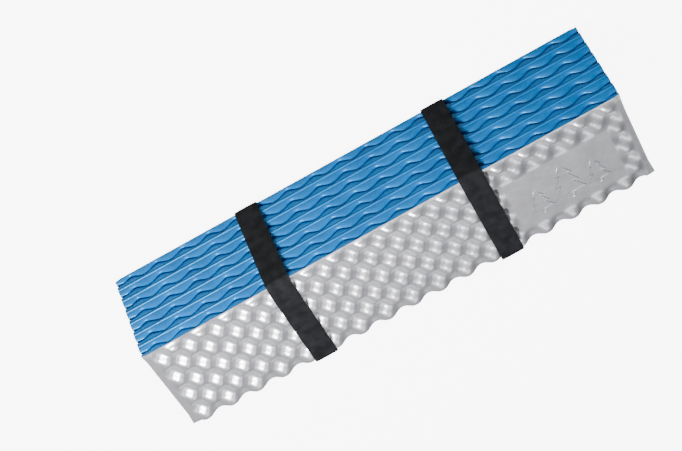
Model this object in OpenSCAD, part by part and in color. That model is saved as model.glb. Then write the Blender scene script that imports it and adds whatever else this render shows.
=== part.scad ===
// Closed-cell foam sleeping pad, folded like an accordion and held by two
// elastic straps. X runs along the pack, which is the width of the open pad.
// Y runs across a panel: blue folds at the front (-Y), silver folds at the
// back (+Y). Z goes up through the stack, from panel 1 to panel 14.
// The origin is under the middle of the pack, on the floor.

/* [Pad] */
// Length of the pack, which is the width of the open pad
pack_l = 570; // [450:5:600]
// Width of one panel, from crease to crease
panel_w = 131; // [115:1:145]
// Height that each folded panel takes up in the stack
pitch = 9; // [8:0.5:11]

/* [Egg crate] */
// Height of the bumps above and below the sheet's middle surface
bump_h = 4.8; // [3:0.1:6]
// Number of waves along the pack
waves_x = 17; // [13:2:21]
// Number of waves across one panel
waves_y = 4; // [4:1:5]
// Width of the flat pressed strip at each end of the pad
end_margin = 9.5; // [6:0.5:14]
// Thickness of the aluminised film on the silver face
film_t = 0.3; // [0.2:0.1:0.5]

/* [Creases] */
// Radius of the thin web that bends at each crease
web_r = 1.3; // [1:0.1:1.6]
// Thickness of a panel where it meets its crease
lip_t = 2; // [1.5:0.1:3]
// Length of the slope from a panel's full thickness down to its lip
taper_l = 6; // [5:0.5:8]

/* [Emblem plate] */
// Waves from the +X end of the egg crate to the plate
plate_wave = 12.5; // [8.5:0.5:12.5]
// Waves that the plate covers along the pack
plate_waves = 4; // [3:0.5:4]

/* [Straps] */
// Width of the elastic
strap_w = 27; // [20:1:30]
// Thickness of the elastic
strap_t = 1.2; // [1:0.1:1.5]
// Centre of the right strap, measured from the middle of the pack
strap_right_x = 121; // [90:1:150]
// Centre of the left strap, measured from the middle of the pack
strap_left_x = -109; // [-150:1:-90]
// Radius of a strap's corners round the stack
strap_corner_r = 6; // [4:0.5:8]
// Length of the sewn lap, where a strap's two ends meet
lap_l = 36; // [25:1:45]

/* [Hidden] */
$fn = 64;
panel_count = 14;               // the creases alternate, so this stays even
crease_count = panel_count - 1;
gap = 0.3;                      // clearance on each side of a fold plane
sheet_t = pitch - 2 * gap;      // thickness of a panel, measured along Z
half_t = sheet_t / 2;
base_z = bump_h + half_t;       // middle of panel 1
stack_h = (panel_count - 1) * pitch + 2 * base_z;
edge_gap = web_r + 0.7;         // from a crease's axis to the panels' edges
edge_y = panel_w / 2 - edge_gap;

crate_l = pack_l - 2 * end_margin;
wave_lx = crate_l / waves_x;
wave_ly = panel_w / waves_y;
plate_v = [1, 3.5];             // the plate's sides, in waves from the front
press_d = strap_t + gap;        // depth that a strap presses the bumps down

loop_y = panel_w / 2 + web_r + gap + strap_t;   // inside of a strap loop
loop_w = 2 * (loop_y + strap_t);
lap_z = stack_h / 2;
thread_w = 1;                   // width of a bar of stitching
thread_d = 0.4;                 // depth that the stitching is let in

blue = "#1787d4";
silver = "#b9bdc4";
black = "#17191c";
grey = "#3a3d42";

function two_digits(k) = k < 10 ? str("0", k) : str(k);
PANELS = [for (k = [1:panel_count]) str("panel_", two_digits(k))];
FILMS = [for (k = [1:panel_count]) str("film_", two_digits(k))];
CREASES = [for (k = [1:crease_count]) str("crease_", two_digits(k))];
STRAPS = ["strap_right", "strap_left", "strap_right_stitching", "strap_left_stitching"];

// Height of a panel's middle, and of the crease between panel k and the next
function mid_z(k) = base_z + (k - 1) * pitch;
function crease_z(k) = mid_z(k) + pitch / 2;
// Odd creases are at the back and even ones at the front
function side(k) = k % 2 == 1 ? 1 : -1;
function is_outer(k) = k == 1 || k == panel_count;

// Draws a (Y, Z) outline and extends it by l along X, centred on x
module along_x(l, x = 0) {
    translate([x - l / 2, 0, 0]) rotate([90, 0, 90]) linear_extrude(l) children();
}

// ---- inner panels: plain slabs with a lip at each crease ----

// Silver face of an odd panel, from its front lip to its back lip
function silver_line(lift) = [
    [-edge_y, -half_t + lift],
    [edge_y - taper_l, -half_t + lift],
    [edge_y, half_t - lip_t + lift]
];
// Blue face of an odd panel, from its back lip to its front lip
function blue_line() = [
    [edge_y, half_t],
    [-edge_y + taper_l, half_t],
    [-edge_y, -half_t + lip_t]
];
function reversed(list) = [for (i = [len(list) - 1:-1:0]) list[i]];

// Even panels lie the other way up, with their silver face on top
module place_section(k) {
    translate([0, mid_z(k)]) mirror([0, k % 2 == 1 ? 0 : 1]) children();
}

module inner_foam(k) {
    along_x(pack_l) place_section(k) polygon(concat(silver_line(film_t), blue_line()));
}

module inner_film(k) {
    along_x(pack_l) place_section(k)
        polygon(concat(silver_line(0), reversed(silver_line(film_t))));
}

// ---- outer panels: the bumps show on their silver faces ----

// Grid of the silver face: u from the +X end of the crate, v from the front edge.
// Its lines run over the tops of the bumps, and along the sides of the plate.
crate_v = panel_w - edge_gap;
plate_u = [plate_wave, plate_wave + plate_waves];
function steps(from, to) = [for (i = [from:0.5:to]) i];
grid_u = concat(
    [-end_margin, 0],
    steps(0.25, plate_u[0] - 0.25) * wave_lx, [plate_u[0] * wave_lx],
    steps(plate_u[0] + 0.25, plate_u[1] - 0.25) * wave_lx, [plate_u[1] * wave_lx],
    steps(plate_u[1] + 0.25, waves_x - 0.25) * wave_lx,
    [crate_l, crate_l + end_margin]
);
grid_v = concat(
    [0],
    steps(0.25, plate_v[0] - 0.25) * wave_ly, [plate_v[0] * wave_ly],
    steps(plate_v[0] + 0.25, plate_v[1] - 0.25) * wave_ly, [plate_v[1] * wave_ly],
    steps(plate_v[1] + 0.25, waves_y - 0.25) * wave_ly,
    [crate_v]
);
function middles(list) = [for (i = [1:len(list) - 1]) (list[i - 1] + list[i]) / 2];

function on_plate(u, v) =
    u >= plate_u[0] * wave_lx && u <= plate_u[1] * wave_lx
    && v >= plate_v[0] * wave_ly && v <= plate_v[1] * wave_ly;
function on_crate(u, v) = u > 0 && u < crate_l && v > 0 && v < crate_v;
function crate_x(u) = crate_l / 2 - u;
function strap_offset(u) =
    min(abs(crate_x(u) - strap_right_x), abs(crate_x(u) - strap_left_x));
function top_limit(u) = strap_offset(u) < strap_w / 2 + 1 ? bump_h - press_d : bump_h;
// The wave is the same in every folded panel, so that the panels nest
function wave(u, v) = on_crate(u, v) && !on_plate(u, v)
    ? -bump_h * sin(360 * u / wave_lx) * sin(360 * v / wave_ly)
    : 0;

// A panel's silver face looks out of the stack: up on the top one, down on the bottom one
function outward(k) = k == 1 ? -1 : 1;
// Height of that face over the panel's inner face, with the slope down to the back lip
function face_height(u, v, out) =
    lip_t + (sheet_t - lip_t + min(out * wave(u, v), top_limit(u)))
    * min(1, (crate_v - v) / taper_l);
function face_point(u, v, k, depth) = [
    crate_x(u),
    v - panel_w / 2,
    mid_z(k) + outward(k) * (face_height(u, v, outward(k)) - half_t - depth)
];
// The corners of the grid's cells, then their middles
function face_points(k, depth) = concat(
    [for (v = grid_v, u = grid_u) face_point(u, v, k, depth)],
    [for (v = middles(grid_v), u = middles(grid_u)) face_point(u, v, k, depth)]
);
function flat_point(u, v, k) = [crate_x(u), v - panel_w / 2, mid_z(k) - outward(k) * half_t];
// The same corners on the flat inner face, then one point in its middle
function flat_points(k) = concat(
    [for (v = grid_v, u = grid_u) flat_point(u, v, k)],
    [flat_point(crate_l / 2, crate_v / 2, k)]
);

nu = len(grid_u);
nv = len(grid_v);
function corner(i, j) = j * nu + i;
function middle(i, j) = nu * nv + j * (nu - 1) + i;
function cell(i, j) = [corner(i, j), corner(i + 1, j), corner(i + 1, j + 1), corner(i, j + 1)];
grid_skin = [for (j = [0:nv - 2], i = [0:nu - 2], n = [0:3])
    [cell(i, j)[n], cell(i, j)[(n + 1) % 4], middle(i, j)]];
grid_rim = concat(
    [for (i = [0:nu - 2]) corner(i, 0)],
    [for (j = [0:nv - 2]) corner(nu - 1, j)],
    [for (i = [nu - 1:-1:1]) corner(i, nv - 1)],
    [for (j = [nv - 1:-1:1]) corner(0, j)]
);
flat_fan = [for (i = [0:len(grid_rim) - 1])
    [grid_rim[i], grid_rim[(i + 1) % len(grid_rim)], nu * nv]];

// Closed solid between the grid's outward face and a back that is a grid or flat
module grid_solid(k, face, back, back_faces) {
    n = len(face);
    m = len(grid_rim);
    walls = [for (i = [0:m - 1]) let (next = grid_rim[(i + 1) % m])
        [grid_rim[i] + n, next + n, next, grid_rim[i]]];
    behind = [for (f = back_faces) reversed([for (i = f) i + n])];
    faces = concat(grid_skin, behind, walls);
    polyhedron(concat(face, back), outward(k) == 1 ? faces : [for (f = faces) reversed(f)]);
}

module outer_foam(k) {
    grid_solid(k, face_points(k, film_t), flat_points(k), flat_fan);
}

module outer_film(k) {
    grid_solid(k, face_points(k, 0), face_points(k, film_t), grid_skin);
}

// ---- one module per kind of sub-part ----

module panel(k) {
    color(blue) if (is_outer(k)) outer_foam(k); else inner_foam(k);
}

module film(k) {
    color(silver) if (is_outer(k)) outer_film(k); else inner_film(k);
}

// The web turns on the crease's axis and is joined to panel k's lip
module crease(k) {
    color(side(k) == 1 ? silver : blue)
        along_x(pack_l) {
            translate([side(k) * panel_w / 2, crease_z(k)]) circle(web_r);
            translate([side(k) == 1 ? edge_y : -panel_w / 2, crease_z(k) - gap - lip_t])
                square([edge_gap, lip_t]);
        }
}

module round_rect(w, h, r) {
    square([w - 2 * r, h], center = true);
    square([w, h - 2 * r], center = true);
    for (sx = [-1, 1], sy = [-1, 1])
        translate([sx * (w / 2 - r), sy * (h / 2 - r)]) circle(r);
}

// Bars of the sewn lap, one across each end and two along it, let into the elastic
module stitch_bars(x, depth) {
    y = loop_w / 2 - depth / 2;
    bar_l = strap_w - 6;
    for (dz = [-1, 1] * (lap_l / 2 - 4))
        translate([x, y, lap_z + dz]) cube([bar_l, depth, thread_w], center = true);
    for (dx = [-1, 1] * (bar_l / 2 - thread_w))
        translate([x + dx, y, lap_z]) cube([thread_w, depth, lap_l - 8], center = true);
}

module strap(x) {
    color(black) difference() {
        union() {
            along_x(strap_w, x) translate([0, stack_h / 2]) difference() {
                round_rect(loop_w, stack_h, strap_corner_r);
                round_rect(2 * loop_y, stack_h - 2 * strap_t, strap_corner_r - strap_t);
            }
            translate([x, loop_y - strap_t / 2, lap_z])
                cube([strap_w, strap_t, lap_l], center = true);
        }
        stitch_bars(x, thread_d);
    }
}

module strap_stitching(x) {
    color(grey) stitch_bars(x, thread_d);
}

for (k = [1:panel_count]) {
    panel(k);
    film(k);
}
for (k = [1:crease_count])
    crease(k);
strap(strap_right_x);  // strap_right
strap(strap_left_x);  // strap_left
strap_stitching(strap_right_x);  // strap_right_stitching
strap_stitching(strap_left_x);  // strap_left_stitching
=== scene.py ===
"""Looks of a folded foam sleeping pad: 14 egg-crate panels, blue on one face and silver film on
the other, folded at 13 creases and held by two elastic straps. Lengths are in metres."""

import math

import bpy
import numpy as np
from mathutils import Matrix, Vector


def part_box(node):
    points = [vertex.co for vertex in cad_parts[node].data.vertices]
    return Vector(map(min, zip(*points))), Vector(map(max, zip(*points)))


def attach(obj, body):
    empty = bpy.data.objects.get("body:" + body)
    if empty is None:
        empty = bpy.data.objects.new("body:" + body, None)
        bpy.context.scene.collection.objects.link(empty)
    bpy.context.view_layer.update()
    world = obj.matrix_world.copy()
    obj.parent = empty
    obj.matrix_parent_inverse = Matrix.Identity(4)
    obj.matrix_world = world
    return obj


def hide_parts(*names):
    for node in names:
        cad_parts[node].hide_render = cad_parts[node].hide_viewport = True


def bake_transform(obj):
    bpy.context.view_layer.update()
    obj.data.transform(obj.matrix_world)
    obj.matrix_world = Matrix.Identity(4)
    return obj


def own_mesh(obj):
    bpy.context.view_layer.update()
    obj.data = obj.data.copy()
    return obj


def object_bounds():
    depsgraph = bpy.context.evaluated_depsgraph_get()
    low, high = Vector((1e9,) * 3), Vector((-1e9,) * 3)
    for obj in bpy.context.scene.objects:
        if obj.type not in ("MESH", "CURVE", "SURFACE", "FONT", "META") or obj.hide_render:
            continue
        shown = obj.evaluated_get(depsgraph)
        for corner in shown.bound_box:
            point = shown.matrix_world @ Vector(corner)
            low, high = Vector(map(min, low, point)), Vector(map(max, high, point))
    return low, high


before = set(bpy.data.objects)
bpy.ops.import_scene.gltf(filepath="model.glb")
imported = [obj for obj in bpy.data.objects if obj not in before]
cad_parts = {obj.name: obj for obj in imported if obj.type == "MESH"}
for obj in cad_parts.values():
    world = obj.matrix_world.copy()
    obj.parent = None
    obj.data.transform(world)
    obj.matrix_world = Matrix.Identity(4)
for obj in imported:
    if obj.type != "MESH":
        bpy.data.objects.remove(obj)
cad_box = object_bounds()

MM = 0.001

# ---- sizes from the CAD frame ----
PANELS = 14
PITCH = (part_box("panel_04")[0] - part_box("panel_02")[0]).z / 2
SHEET_T = (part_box("film_02")[1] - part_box("panel_02")[0]).z      # panel and its film together
PACK_L = (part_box("panel_02")[1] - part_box("panel_02")[0]).x
CREASE_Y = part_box("crease_01")[1].y                             # outermost point of a fold
WEB_R = 1.3 * MM
PANEL_W = 2 * (CREASE_Y - WEB_R)
BASE_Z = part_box("film_02")[1].z - SHEET_T / 2 - PITCH           # middle of panel 1
STACK_H = (cad_box[1] - cad_box[0]).z

# ---- egg crate ----
END_MARGIN = 9.5 * MM          # flat pressed strip at each end
CRATE_L = PACK_L - 2 * END_MARGIN
WAVES_X, WAVES_Y = 17, 4
WAVE_X = CRATE_L / WAVES_X
WAVE_Y = PANEL_W / WAVES_Y
BUMP = 4.7 * MM
STEEPER = 0.35                 # how much steeper than a plain wave an outer face's domes are
EDGE_LOSS = 0.12               # share of the wave's height lost where a row runs out at a fold
EDGE_Y = PANEL_W / 2 - 0.4 * MM
# Rounding of a panel's end, as (along Y, along Z), where the end is low and where it is tall.
RIM_UP = ((3.0 * MM, 3.0 * MM), (4.6 * MM, 8 * MM))            # where it rounds into an upper face
RIM_DOWN = ((3.6 * MM, 3 * MM), (6.4 * MM, 10 * MM))           # where it rounds into a lower face
LOW_END, TALL_END = 5 * MM, 12.5 * MM
FREE_STRIP = 2.0 * MM          # flat strip along the free edges of the outer panels
FREE_FADE = 5 * MM             # length over which the domes rise behind it
FREE_PRESS = 1.6 * MM          # depth that it is pressed
FILM_T = 0.5 * MM
FOAM_INSET = 0.35 * MM         # depth of the foam's surface below the film's outer face
STRAP_PRESS = 1.6 * MM         # depth that a strap presses the bumps down
FRONT_PRESS = 4 * MM           # further depth at the free edges, where the strap turns
END_DRAW = 1.4 * MM            # how far a panel's ends draw in from the ends of its folds
PLATE_U = (12.5 * WAVE_X, 16.5 * WAVE_X)      # plain plate in the last panel's silver face
PLATE_V = (1.0 * WAVE_Y, 3.5 * WAVE_Y)

# ---- straps ----
STRAP_X = {"right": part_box("strap_right"), "left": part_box("strap_left")}
STRAP_T = 1.2 * MM
STRAP_W = (STRAP_X["right"][1] - STRAP_X["right"][0]).x


def smooth(t):
    t = np.clip(t, 0.0, 1.0)
    return t * t * (3 - 2 * t)


def mid_z(k):
    return BASE_Z + (k - 1) * PITCH


def two_digits(k):
    return f"{k:02d}"


def fold(k):
    return "fold_" + two_digits(k)


# ---- material helpers ----

class Nodes:
    """Builds one Principled material."""

    def __init__(self, name):
        self.material = bpy.data.materials.new(name)
        self.material.use_nodes = True
        self.tree = self.material.node_tree
        self.shader = self.tree.nodes["Principled BSDF"]
        self.place = self.tree.nodes.new("ShaderNodeTexCoord").outputs["Object"]

    def add(self, kind, **values):
        node = self.tree.nodes.new(kind)
        for key, value in values.items():
            setattr(node, key, value)
        return node

    def link(self, source, target):
        self.tree.links.new(source, target)

    def noise(self, scale, detail=3.0, rough=0.55, stretch=(1, 1, 1)):
        mapping = self.add("ShaderNodeMapping")
        mapping.inputs["Scale"].default_value = stretch
        self.link(self.place, mapping.inputs["Vector"])
        node = self.add("ShaderNodeTexNoise")
        node.inputs["Scale"].default_value = scale
        node.inputs["Detail"].default_value = detail
        node.inputs["Roughness"].default_value = rough
        self.link(mapping.outputs["Vector"], node.inputs["Vector"])
        return node.outputs["Fac"]

    def cells(self, scale):
        node = self.add("ShaderNodeTexVoronoi")
        node.inputs["Scale"].default_value = scale
        self.link(self.place, node.inputs["Vector"])
        return node.outputs["Distance"]

    def bands(self, scale, direction):
        node = self.add("ShaderNodeTexWave", bands_direction=direction)
        node.inputs["Scale"].default_value = scale
        node.inputs["Distortion"].default_value = 0.6
        node.inputs["Detail"].default_value = 1.0
        self.link(self.place, node.inputs["Vector"])
        return node.outputs["Fac"]

    def ramp(self, value, stops, target):
        node = self.add("ShaderNodeValToRGB")
        elements = node.color_ramp.elements
        while len(elements) < len(stops):
            elements.new(0.5)
        for element, (position, colour) in zip(elements, stops):
            element.position = position
            element.color = (*colour, 1.0)
        self.link(value, node.inputs["Fac"])
        self.link(node.outputs["Color"], self.shader.inputs[target])

    def spread(self, value, low, high, target):
        """Maps 0..1 to low..high on one of the shader's inputs."""
        node = self.add("ShaderNodeMapRange")
        node.inputs["To Min"].default_value = low
        node.inputs["To Max"].default_value = high
        self.link(value, node.inputs["Value"])
        self.link(node.outputs["Result"], self.shader.inputs[target])

    def bumps(self, *layers):
        """Layers are (value, depth in metres), the coarsest first."""
        normal = None
        for value, depth in layers:
            node = self.add("ShaderNodeBump")
            node.inputs["Distance"].default_value = depth
            self.link(value, node.inputs["Height"])
            if normal is not None:
                self.link(normal, node.inputs["Normal"])
            normal = node.outputs["Normal"]
        self.link(normal, self.shader.inputs["Normal"])


def foam_material():
    m = Nodes("foam_blue")
    m.ramp(m.noise(28, detail=4.0), [(0.35, (0.0002, 0.16, 0.50)), (0.68, (0.0004, 0.21, 0.62))],
           "Base Color")
    m.spread(m.noise(160), 0.24, 0.36, "Roughness")
    m.bumps((m.noise(420, detail=4.0), 0.15 * MM), (m.cells(1900), 0.06 * MM))
    m.shader.inputs["Specular IOR Level"].default_value = 0.8
    m.shader.inputs["Specular Tint"].default_value = (0.35, 0.85, 1.0, 1)
    m.shader.inputs["Subsurface Weight"].default_value = 0.08
    m.shader.inputs["Subsurface Radius"].default_value = (0.001, 0.003, 0.006)
    return m.material


def film_material():
    m = Nodes("aluminised_film")
    m.ramp(m.noise(45, detail=5.0), [(0.32, (0.56, 0.56, 0.60)), (0.70, (0.70, 0.70, 0.73))],
           "Base Color")
    m.spread(m.noise(230), 0.26, 0.38, "Roughness")
    m.bumps((m.noise(110, detail=4.0), 0.25 * MM), (m.noise(900, detail=3.0), 0.05 * MM))
    m.shader.inputs["Metallic"].default_value = 0.65
    return m.material


def elastic_material():
    m = Nodes("elastic_black")
    m.ramp(m.noise(90), [(0.35, (0.006, 0.0065, 0.0075)), (0.70, (0.016, 0.017, 0.020))], "Base Color")
    m.spread(m.noise(500), 0.72, 0.90, "Roughness")
    m.bumps((m.bands(200, "X"), 0.25 * MM), (m.noise(1500, stretch=(1, 0.3, 0.3)), 0.12 * MM))
    m.shader.inputs["Specular IOR Level"].default_value = 0.2
    return m.material


def thread_material():
    m = Nodes("stitching_thread")
    m.ramp(m.noise(700), [(0.35, (0.030, 0.031, 0.036)), (0.70, (0.060, 0.062, 0.070))], "Base Color")
    m.spread(m.noise(900), 0.5, 0.7, "Roughness")
    m.bumps((m.bands(600, "DIAGONAL"), 0.1 * MM))
    return m.material


MATERIALS = {
    "foam_blue": foam_material(),
    "aluminised_film": film_material(),
    "elastic_black": elastic_material(),
    "stitching_thread": thread_material(),
}


# ---- mesh helpers ----

def add_mesh(name, points, faces, material, sharp=55):
    mesh = bpy.data.meshes.new(name)
    mesh.from_pydata([tuple(p) for p in points], [], [tuple(f) for f in faces])
    mesh.validate()
    mesh.update()
    mesh.materials.append(MATERIALS[material])
    mesh.shade_smooth()
    mesh.set_sharp_from_angle(angle=math.radians(sharp))
    piece = bpy.data.objects.new(name, mesh)
    bpy.context.scene.collection.objects.link(piece)
    return piece


def loft(near, far):
    """Closed solid between two grids of points, both of shape (columns, rows, 3)."""
    columns, rows = near.shape[:2]
    points = np.concatenate([near.reshape(-1, 3), far.reshape(-1, 3)])
    shift = columns * rows

    def at(i, j, back):
        return i * rows + j + (shift if back else 0)

    faces = []
    for i in range(columns - 1):
        for j in range(rows - 1):
            faces.append((at(i, j, 0), at(i + 1, j, 0), at(i + 1, j + 1, 0), at(i, j + 1, 0)))
            faces.append((at(i, j, 1), at(i, j + 1, 1), at(i + 1, j + 1, 1), at(i + 1, j, 1)))
        for j in (0, rows - 1):
            side = (at(i, j, 0), at(i, j, 1), at(i + 1, j, 1), at(i + 1, j, 0))
            faces.append(side if j == 0 else side[::-1])
    for j in range(rows - 1):
        for i in (0, columns - 1):
            side = (at(i, j, 0), at(i, j + 1, 0), at(i, j + 1, 1), at(i, j, 1))
            faces.append(side if i == 0 else side[::-1])
    return points, faces


def facing(faces, flip):
    """Turns faces over, each from the same corner, so that film and foam split along one diagonal."""
    return [f[:1] + f[:0:-1] for f in faces] if flip else faces


# ---- the egg-crate sheet ----

# Places on a sheet: u runs along the pack from the crate's +X end, v from a panel's front edge.

def column_u():
    strip = END_MARGIN * np.array([1.0, 0.96, 0.85, 0.6, 0.3])
    crate = np.linspace(0, CRATE_L, WAVES_X * 10 + 1)
    return np.concatenate([-strip, crate, CRATE_L + strip[::-1]])


U = column_u()
X = CRATE_L / 2 - U
ON_CRATE = (U > 0) & (U < CRATE_L)
WAVE_ALONG = np.where(ON_CRATE, np.sin(2 * math.pi * U / WAVE_X), 0.0)
V = np.linspace(PANEL_W / 2 - EDGE_Y + RIM_DOWN[1][0], PANEL_W / 2 + EDGE_Y - RIM_DOWN[1][0], 41)
EDGE_STEPS = PANEL_W / 2 - EDGE_Y + np.array([0.0, 2.0, 4.0]) * MM
FROM_END = np.minimum(U, CRATE_L - U) + END_MARGIN
PINCH = 1.2 * MM * (1 - smooth(FROM_END / (0.9 * END_MARGIN)))      # the sheet thins at its ends


def wave_across(v, full_at_front):
    """The wave across a panel. Its last row runs on, nearly at full height, to one of the edges."""
    w = v if full_at_front else PANEL_W - v
    sign = 1 if full_at_front else -1
    quarter = WAVE_Y / 4
    edge = 1 - EDGE_LOSS * (1 - np.clip(w / quarter, 0, 1)) ** 2
    return sign * np.where(w < quarter, edge, np.sin(2 * math.pi * w / WAVE_Y))


def blue_wave(v):
    return -BUMP * np.outer(WAVE_ALONG, wave_across(np.atleast_1d(v), True))


def silver_wave(v, k):
    v = np.atleast_1d(v)
    height = -BUMP * np.outer(WAVE_ALONG, wave_across(v, False))
    if k in (1, PANELS):
        height = height * (1 + STEEPER * (1 - (height / BUMP) ** 2))
        height = height * smooth((v - FREE_STRIP) / FREE_FADE)
    if k == PANELS:
        inside = np.outer((U > PLATE_U[0]) & (U < PLATE_U[1]), (v > PLATE_V[0]) & (v < PLATE_V[1]))
        height = np.where(inside, 0.0, height)
    return height


def pressed_by_straps(height, v, k):
    """Flattens the bumps of an outer face under the two straps."""
    if k not in (1, PANELS):
        return height
    out = 1 if k == PANELS else -1
    reach = np.full(len(X), 1.0)
    for low, high in STRAP_X.values():
        gap = np.abs(X - (low.x + high.x) / 2) - STRAP_W / 2
        reach = np.minimum(reach, smooth(gap / (3 * MM)))
    front = 1 - smooth((v - 6 * MM) / (12 * MM))
    limit = BUMP - (1 - reach)[:, None] * (STRAP_PRESS + FRONT_PRESS * front)
    return out * np.minimum(out * height, limit)


def end_inset(v):
    """How far a panel's ends draw in from the ends of its folds."""
    away = np.minimum(v, PANEL_W - v)
    return END_DRAW * smooth(away / (10 * MM))


def place_x(v):
    """X of every column at one v, with the ends drawn in."""
    edge = smooth(1 - FROM_END / END_MARGIN)
    return X - np.sign(X) * edge * float(end_inset(v))


def end_face(start, finish, sign):
    """Rows (y, z) up a panel's end, from height start to height finish, where it rounds into a face."""
    height = finish - start
    up = np.sign(height)
    tall = np.clip((np.abs(height) - LOW_END) / (TALL_END - LOW_END), 0, 1)
    low_rim, tall_rim = RIM_UP if height.mean() > 0 else RIM_DOWN
    round_y, round_z = (low_rim[i] + (tall_rim[i] - low_rim[i]) * tall for i in range(2))
    rows = []
    for t in (0.0, 0.33, 0.67):
        rows.append((sign * np.full(len(U), EDGE_Y), start + (height - up * round_z) * t))
    for degrees in (0, 15, 30, 45, 60, 74, 87):
        angle = math.radians(degrees)
        y = EDGE_Y - round_y * (1 - math.cos(angle))
        rows.append((sign * y, finish - up * round_z * (1 - math.sin(angle))))
    return rows


def face_rows(v, z):
    """Rows (v, y, z) across a face."""
    return [(at, np.full(len(U), at - PANEL_W / 2), z[:, j]) for j, at in enumerate(v)]


def panel_rows(k):
    """Rows (v, y, z) of a panel's blue side and of its silver side, front to back."""
    side = 1 if k % 2 else -1
    half = SHEET_T / 2 - PINCH
    blue_v = np.concatenate([V, PANEL_W - EDGE_STEPS[::-1]])
    silver_v = np.concatenate([EDGE_STEPS, V])
    blue_z = mid_z(k) + side * half[:, None] + blue_wave(blue_v)
    silver_z = mid_z(k) - side * half[:, None] + pressed_by_straps(silver_wave(silver_v, k), silver_v, k)
    if k in (1, PANELS):
        press = FREE_PRESS * (1 - smooth((silver_v - FREE_STRIP / 2) / (2 * FREE_STRIP)))
        silver_z = silver_z + side * press
    blue_edge = mid_z(k) + side * half + blue_wave(0.0)[:, 0]
    silver_edge = mid_z(k) - side * half + silver_wave(PANEL_W, k)[:, 0]
    front = end_face(silver_z[:, 0], blue_edge, -1)
    back = end_face(blue_z[:, -1], silver_edge, 1)
    blue = [(0.0, y, z) for y, z in front] + face_rows(blue_v, blue_z)
    silver = face_rows(silver_v, silver_z) + [(PANEL_W, y, z) for y, z in reversed(back)]
    return blue, silver


def grid_points(rows):
    out = np.zeros((len(U), len(rows), 3))
    for j, (v, y, z) in enumerate(rows):
        out[:, j, 0] = place_x(v)
        out[:, j, 1] = y
        out[:, j, 2] = z
    return out


def inward(grid, k, depth):
    """The silver side's points moved into the foam."""
    side = 1 if k % 2 else -1
    moved = grid.copy()
    faces = len(V) + len(EDGE_STEPS)
    moved[:, :faces, 2] += side * depth
    moved[:, faces:, 1] -= depth
    return moved


def add_panel(k):
    side = 1 if k % 2 else -1
    blue, silver = (grid_points(rows) for rows in panel_rows(k))
    foam_points, faces = loft(blue, inward(silver, k, FOAM_INSET))
    foam = add_mesh("foam_panel_" + two_digits(k), foam_points, facing(faces, side > 0), "foam_blue")
    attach(foam, fold(k))
    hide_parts("panel_" + two_digits(k))
    film_points, faces = loft(silver, inward(silver, k, FILM_T))
    film = add_mesh("silver_film_" + two_digits(k), film_points, facing(faces, side < 0),
                    "aluminised_film")
    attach(film, fold(k))
    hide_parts("film_" + two_digits(k))


# ---- creases ----


def crease_outline():
    """Outer and inner line of a fold's nose: outward distance from its axis, and height."""
    outer = [(-1.1, -1.2), (-0.6, -1.2), (0.1, -0.95), (0.55, -0.5), (0.7, 0.0)]
    inner = [(-1.1, -0.5), (-0.8, -0.5), (-0.5, -0.4), (-0.35, -0.2), (-0.3, 0.0)]
    lines = []
    for half in (outer, inner):
        whole = half + [(y, -z) for y, z in reversed(half[:-1])]
        lines.append(np.array(whole) * MM)
    return lines


def add_crease(k):
    back = k % 2 == 1
    side = 1 if back else -1
    z = mid_z(k) + PITCH / 2
    grids = []
    for line in crease_outline():
        grid = np.zeros((len(U), len(line), 3))
        grid[:, :, 0] = X[:, None]
        grid[:, :, 1] = side * (PANEL_W / 2 + line[:, 0])
        grid[:, :, 2] = z + line[:, 1]
        grids.append(grid)
    points, faces = loft(*grids)
    name = "aluminised_film" if back else "foam_blue"
    nose = add_mesh("crease_fold_" + two_digits(k), points, facing(faces, back), name, sharp=70)
    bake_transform(nose)
    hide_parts("crease_" + two_digits(k))


for k in range(1, PANELS + 1):
    add_panel(k)
for k in range(1, PANELS):
    add_crease(k)


# ---- raised emblem on the plate of the last panel ----

# Right half of a tree one unit high, from its tip to its foot.
PINE = [(0, 1), (0.17, 0.70), (0.09, 0.70), (0.25, 0.42), (0.14, 0.42), (0.34, 0.14), (0.05, 0.14),
        (0.05, 0)]
PINES = [(0, 54 * MM), (-34 * MM, 38 * MM), (34 * MM, 38 * MM)]      # middle and height of each tree
LINE_R = 1.1 * MM


def pine_mesh():
    """Outlines of three pine trees. Their tips point to the front edge."""
    x_middle = CRATE_L / 2 - sum(PLATE_U) / 2
    y_foot = sum(PLATE_V) / 2 - PANEL_W / 2 + PINES[0][1] / 2
    z = mid_z(PANELS) + SHEET_T / 2 - LINE_R / 4
    curve = bpy.data.curves.new("pine_lines", "CURVE")
    curve.dimensions = "3D"
    curve.bevel_depth = LINE_R
    curve.bevel_resolution = 2
    for middle, height in PINES:
        outline = PINE + [(-x, y) for x, y in reversed(PINE[1:])]
        spline = curve.splines.new("POLY")
        spline.points.add(len(outline) - 1)
        spline.use_cyclic_u = True
        for point, (x, y) in zip(spline.points, outline):
            point.co = (x_middle + middle + x * height, y_foot - y * height, z, 1)
    lines = bpy.data.objects.new("pine_lines", curve)
    mesh = bpy.data.meshes.new_from_object(lines)
    bpy.data.objects.remove(lines)
    return mesh


def add_emblem():
    mesh = pine_mesh()
    mesh.materials.clear()
    mesh.materials.append(MATERIALS["aluminised_film"])
    mesh.shade_smooth()
    emblem = bpy.data.objects.new("pine_emblem", mesh)
    bpy.context.scene.collection.objects.link(emblem)
    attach(emblem, fold(PANELS))


add_emblem()


# ---- straps ----

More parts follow.
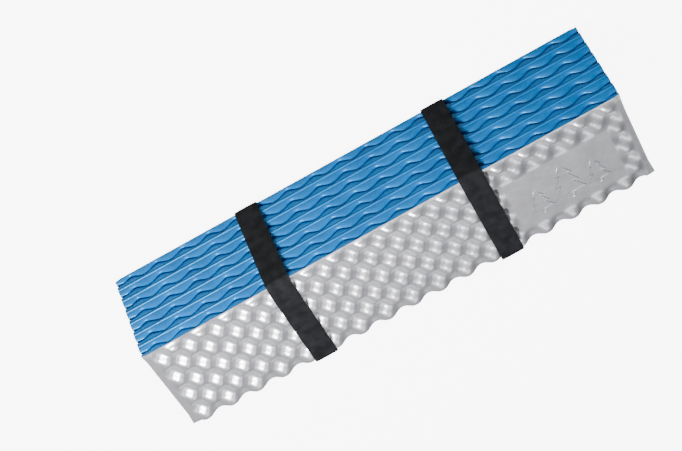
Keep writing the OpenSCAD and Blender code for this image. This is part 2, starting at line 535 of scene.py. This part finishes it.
LOOP_Y = (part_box("strap_right")[1].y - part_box("strap_right")[0].y) / 2
BACK_R = 8 * MM
LAP_L = 36 * MM
FRONT_CUT = (12 * MM, 7 * MM)  # how far a loop leaves the front corners, along Y and along Z
FRONT_R = (9 * MM, 5 * MM)     # rounding of the cut's two ends
STITCHED = (9.5 * MM, 14 * MM)  # half the width and length of the stitched rectangle
STITCH_STEP = 2.8 * MM
THREAD_R = 0.45 * MM


def strap_corners():
    """Corners (y, z) of a loop and their rounding. The front ones are cut, where the free edges are."""
    y, h = LOOP_Y, STACK_H
    in_y, in_z = FRONT_CUT
    flat_r, upright_r = FRONT_R
    bottom = [((in_y - y, 0), flat_r), ((-y, in_z), upright_r)]
    top = [((-y, h - in_z), upright_r), ((in_y - y, h), flat_r)]
    return bottom + top + [((y, h), BACK_R), ((y, 0), BACK_R)]


def rounded_line(corners):
    """Points round a closed line, each corner drawn as a quadratic curve."""
    line = []
    for i, (corner, radius) in enumerate(corners):
        point = Vector(corner)
        before = Vector(corners[i - 1][0]) - point
        after = Vector(corners[(i + 1) % len(corners)][0]) - point
        cut = radius / math.tan(before.angle(after) / 2)
        start, end = (point + side.normalized() * cut for side in (before, after))
        for t in np.linspace(0, 1, 6):
            line.append(start * (1 - t) ** 2 + point * 2 * t * (1 - t) + end * t ** 2)
    return line


def strap_path():
    """A loop's outer line as (y, z, outward y, outward z), from the bottom front corner up the front."""
    line = rounded_line(strap_corners())
    dense = []
    for a, b in zip(line, line[1:] + line[:1]):
        count = max(1, round((b - a).length / (3 * MM)))
        dense += [a + (b - a) * i / count for i in range(count)]
    points = np.array([tuple(p) for p in dense])
    along = np.roll(points, -1, 0) - np.roll(points, 1, 0)
    outward = np.stack([-along[:, 1], along[:, 0]], 1)
    outward = outward / np.linalg.norm(outward, axis=1)[:, None]
    return np.concatenate([points, outward], 1)


def strap_sag(x, path):
    """How far the elastic sinks between folds and between bumps."""
    y, z = path[:, 0], path[:, 1]
    front_z = np.cos(2 * math.pi * (z - mid_z(2) - PITCH / 2) / (2 * PITCH))
    sides = 0.35 * MM * (1 - np.sign(-y) * front_z)
    along = math.sin(2 * math.pi * (CRATE_L / 2 - x) / WAVE_X)
    bump = -along * np.sin(2 * math.pi * (y + PANEL_W / 2) / WAVE_Y) * np.sign(path[:, 3] + 1e-9)
    caps = 0.45 * MM * (1 - bump)
    return sides * np.abs(path[:, 2]) ** 4 + caps * np.abs(path[:, 3]) ** 4


def band_grids(x_middle, path):
    outer, inner = [], []
    for s in np.linspace(-1, 1, 13):
        x = x_middle + s * STRAP_W / 2
        sag = strap_sag(x, path)
        edge = 0.35 * MM * abs(s) ** 8
        for depth, grid in ((sag + edge, outer), (sag + STRAP_T - edge, inner)):
            line = np.zeros((len(path), 3))
            line[:, 0] = x
            line[:, 1] = path[:, 0] - path[:, 2] * depth
            line[:, 2] = path[:, 1] - path[:, 3] * depth
            grid.append(line)
    return np.array(outer), np.array(inner)


def lap_grids(x_middle):
    """Outer and inner face of the end that lies under the back of the loop."""
    grids = []
    for y in (LOOP_Y - 1.1 * STRAP_T, LOOP_Y - 2 * STRAP_T):
        grid = np.zeros((7, 13, 3))
        grid[:, :, 0] = x_middle + np.linspace(-0.49, 0.49, 7)[:, None] * STRAP_W
        grid[:, :, 1] = y
        grid[:, :, 2] = STACK_H / 2 + np.linspace(0.5, -0.5, 13) * LAP_L
        grids.append(grid)
    return grids


def add_strap(side):
    low, high = STRAP_X[side]
    x_middle = (low.x + high.x) / 2
    path = strap_path()
    closed = np.concatenate([path, path[:1]])
    outer, inner = band_grids(x_middle, closed)
    points, faces = loft(outer, inner)
    lap_points, lap_faces = loft(*lap_grids(x_middle))
    faces += [tuple(i + len(points) for i in f) for f in lap_faces]
    points = np.concatenate([points, lap_points])
    strap = add_mesh("elastic_strap_" + side, points, facing(faces, True), "elastic_black")
    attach(strap, side + "_strap")
    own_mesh(strap)
    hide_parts("strap_" + side)


def stitch_ends(x_middle, z_middle):
    """Both ends (x, z) of every stitch along a rectangle."""
    half_w, half_l = STITCHED
    corners = [(-half_w, -half_l), (half_w, -half_l), (half_w, half_l), (-half_w, half_l)]
    ends = []
    for (xa, za), (xb, zb) in zip(corners, corners[1:] + corners[:1]):
        count = round(math.dist((xa, za), (xb, zb)) / STITCH_STEP)
        for i in range(count):
            shares = [(i + t) / count for t in (0.1, 0.9)]
            ends.append([(x_middle + xa + (xb - xa) * t, z_middle + za + (zb - za) * t) for t in shares])
    return ends


def stitch_rings(a, b, y):
    """Five rings of points along one stitch, thin at its two ends."""
    along = Vector((b[0] - a[0], 0, b[1] - a[1]))
    across = Vector((-along.z, 0, along.x)).normalized()
    rings = []
    for t in (0.0, 0.2, 0.5, 0.8, 1.0):
        radius = THREAD_R * (0.25 + 0.75 * math.sin(math.pi * t))
        centre = Vector((a[0], y, a[1])) + along * t
        for i in range(6):
            angle = 2 * math.pi * i / 6
            out = Vector((0, radius * math.sin(angle), 0))
            rings.append(centre + across * radius * math.cos(angle) + out)
    return rings


def stitch_faces(base):
    faces = []
    for ring in range(4):
        for i in range(6):
            p, q = base + ring * 6 + i, base + ring * 6 + (i + 1) % 6
            faces.append((p, q, q + 6, p + 6))
    faces.append(tuple(base + i for i in reversed(range(6))))
    faces.append(tuple(base + 24 + i for i in range(6)))
    return faces


def add_stitching(side):
    low, high = STRAP_X[side]
    points, faces = [], []
    for a, b in stitch_ends((low.x + high.x) / 2, STACK_H / 2):
        faces += stitch_faces(len(points))
        points += stitch_rings(a, b, LOOP_Y - 0.2 * MM)
    thread = add_mesh("strap_stitches_" + side, points, faces, "stitching_thread")
    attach(thread, side + "_strap")
    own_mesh(thread)
    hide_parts(f"strap_{side}_stitching")


for side in ("right", "left"):
    add_strap(side)
    add_stitching(side)


# ---- camera, lights and floor ----

def add_camera():
    aim = Vector((0.0393, -0.0185, 0.0526))
    azimuth, elevation, roll = (math.radians(a) for a in (-5.2, 45.0, 154.8))
    back = Vector((math.sin(azimuth) * math.cos(elevation),
                   -math.cos(azimuth) * math.cos(elevation), math.sin(elevation)))
    data = bpy.data.cameras.new("camera")
    data.lens = 118.8
    data.sensor_width = 36
    camera = bpy.data.objects.new("camera", data)
    camera.rotation_mode = "QUATERNION"
    camera.location = aim + back * 2.436
    turn = (-back).to_track_quat("-Z", "Y").to_matrix() @ Matrix.Rotation(roll, 3, "Z")
    camera.rotation_quaternion = turn.to_quaternion()
    bpy.context.scene.collection.objects.link(camera)
    bpy.context.scene.camera = camera


def add_area(name, place, aim, size, power, colour=(1, 1, 1)):
    data = bpy.data.lights.new(name, "AREA")
    data.shape = "RECTANGLE"
    data.size, data.size_y = size
    data.energy = power
    data.color = colour
    light = bpy.data.objects.new(name, data)
    light.location = place
    light.rotation_mode = "QUATERNION"
    light.rotation_quaternion = (Vector(aim) - Vector(place)).to_track_quat("-Z", "Y")
    bpy.context.scene.collection.objects.link(light)


def add_stage():
    size = 6.0
    points = [(-size, -size, 0), (size, -size, 0), (size, size, 0), (-size, size, 0)]
    mesh = bpy.data.meshes.new("floor")
    mesh.from_pydata(points, [], [(0, 1, 2, 3)])
    m = Nodes("floor")
    m.shader.inputs["Base Color"].default_value = (0.3, 0.3, 0.3, 1)
    m.shader.inputs["Roughness"].default_value = 0.9
    m.shader.inputs["Emission Color"].default_value = (1, 1, 1, 1)
    seen = m.add("ShaderNodeLightPath").outputs["Is Camera Ray"]
    m.spread(seen, 0.0, 8.0, "Emission Strength")
    mesh.materials.append(m.material)
    floor = bpy.data.objects.new("floor", mesh)
    bpy.context.scene.collection.objects.link(floor)


def add_world():
    world = bpy.data.worlds.new("studio")
    world.use_nodes = True
    world.node_tree.nodes["Background"].inputs["Color"].default_value = (0.9, 0.95, 1.0, 1)
    world.node_tree.nodes["Background"].inputs["Strength"].default_value = 0.12
    bpy.context.scene.world = world


add_camera()
add_stage()
add_world()
middle = (0, 0, 0.07)
add_area("key", (0.46, -0.46, 0.98), middle, (0.24, 0.24), 25)
add_area("top", (-0.1, 0.3, 1.2), middle, (0.9, 0.9), 5)
add_area("front_fill", (0.6, -1.3, 0.5), middle, (0.6, 0.6), 1)
